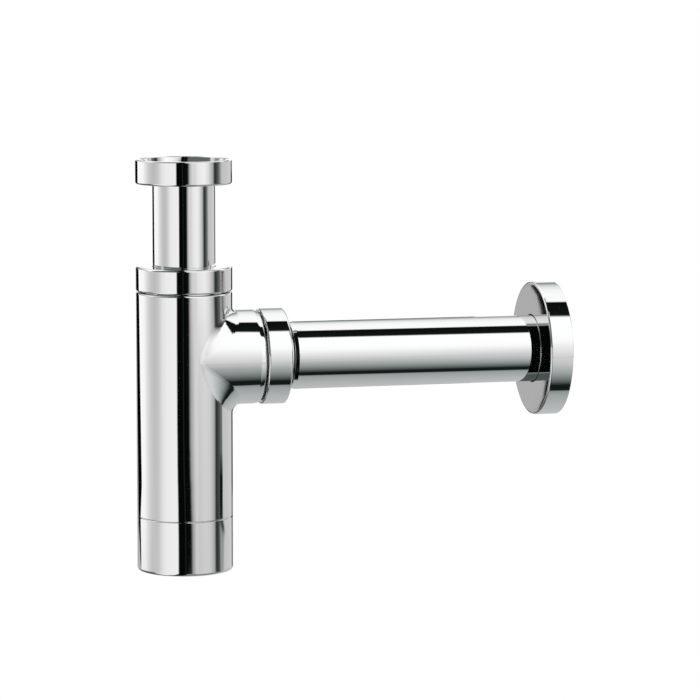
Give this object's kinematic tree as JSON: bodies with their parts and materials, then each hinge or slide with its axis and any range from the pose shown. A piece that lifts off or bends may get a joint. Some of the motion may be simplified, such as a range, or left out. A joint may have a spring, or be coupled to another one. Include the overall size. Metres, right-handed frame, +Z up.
{
  "type": "bottle trap",
  "caption": "Chrome bottle trap for a wash basin: height-adjustable dip tube, upright bottle with side branch, unscrewable cleaning cup, straight outlet tube and sliding wall flange.",
  "frame": {"origin": "centre of the inlet's sealing plane, where the basin waste's end presses on the washer in the union nut", "axes": "+Z up along the inlet tube and the bottle, +X along the outlet tube to the wall, +Y by the right-hand rule"},
  "size_m": [0.2051, 0.0642, 0.1946],
  "materials": {
    "chrome_plated_brass": "polished chrome plate",
    "black_rubber": "matt moulded rubber",
    "white_nylon": "satin moulded nylon"
  },
  "bodies": {
    "trap_body": {"trap_body": "chrome_plated_brass", "body_seal": "black_rubber", "outlet_seal": "black_rubber"},
    "inlet_tube": {"inlet_tube": "chrome_plated_brass", "inlet_washer": "black_rubber"},
    "inlet_slip_ring": {"inlet_slip_ring": "white_nylon"},
    "union_nut": {"union_nut": "chrome_plated_brass"},
    "body_slip_ring": {"body_slip_ring": "white_nylon"},
    "body_nut": {"body_nut": "chrome_plated_brass"},
    "bottom_seal": {"bottom_seal": "black_rubber"},
    "bottom_cup": {"bottom_cup": "chrome_plated_brass"},
    "outlet_slip_ring": {"outlet_slip_ring": "white_nylon"},
    "outlet_nut": {"outlet_nut": "chrome_plated_brass"},
    "outlet_tube": {"outlet_tube": "chrome_plated_brass"},
    "wall_flange": {"wall_flange": "chrome_plated_brass", "flange_seal": "black_rubber"}
  },
  "joints": [
    {"name": "inlet_height", "type": "slide", "parent": "trap_body", "child": "inlet_tube", "axis": [0, 0, 1], "range_m": [-0.018, 0.005]},
    {"name": "union_nut_drop", "type": "slide", "parent": "inlet_tube", "child": "inlet_slip_ring", "axis": [0, 0, 1], "range_m": [-0.011, 0]},
    {"name": "union_nut_turn", "type": "hinge", "parent": "inlet_slip_ring", "child": "union_nut", "pos_m": [0, 0, 0], "axis": [0, 0, 1], "continuous": true},
    {"name": "body_nut_travel", "type": "slide", "parent": "trap_body", "child": "body_slip_ring", "axis": [0, 0, 1], "range_m": [0, 0.008]},
    {"name": "body_nut_turn", "type": "hinge", "parent": "body_slip_ring", "child": "body_nut", "pos_m": [0, 0, -0.05], "axis": [0, 0, 1], "range_deg": [0, 1240]},
    {"name": "cup_travel", "type": "slide", "parent": "trap_body", "child": "bottom_seal", "axis": [0, 0, -1], "range_m": [0, 0.008]},
    {"name": "cup_turn", "type": "hinge", "parent": "bottom_seal", "child": "bottom_cup", "pos_m": [0, 0, -0.17], "axis": [0, 0, -1], "range_deg": [0, 1240]},
    {"name": "outlet_nut_travel", "type": "slide", "parent": "trap_body", "child": "outlet_slip_ring", "axis": [1, 0, 0], "range_m": [0, 0.008]},
    {"name": "outlet_nut_turn", "type": "hinge", "parent": "outlet_slip_ring", "child": "outlet_nut", "pos_m": [0.04, 0, -0.0881], "axis": [1, 0, 0], "range_deg": [0, 1240]},
    {"name": "outlet_length", "type": "slide", "parent": "trap_body", "child": "outlet_tube", "axis": [1, 0, 0], "range_m": [-0.005, 0.007]},
    {"name": "flange_slide", "type": "slide", "parent": "outlet_tube", "child": "wall_flange", "axis": [1, 0, 0], "range_m": [-0.1, 0]}
  ],
  "couplings": [
    {"joint": "body_nut_travel", "follows": "body_nut_turn", "m_per_rad": 0.00036749},
    {"joint": "cup_travel", "follows": "cup_turn", "m_per_rad": 0.00036749},
    {"joint": "outlet_nut_travel", "follows": "outlet_nut_turn", "m_per_rad": 0.00036749}
  ]
}
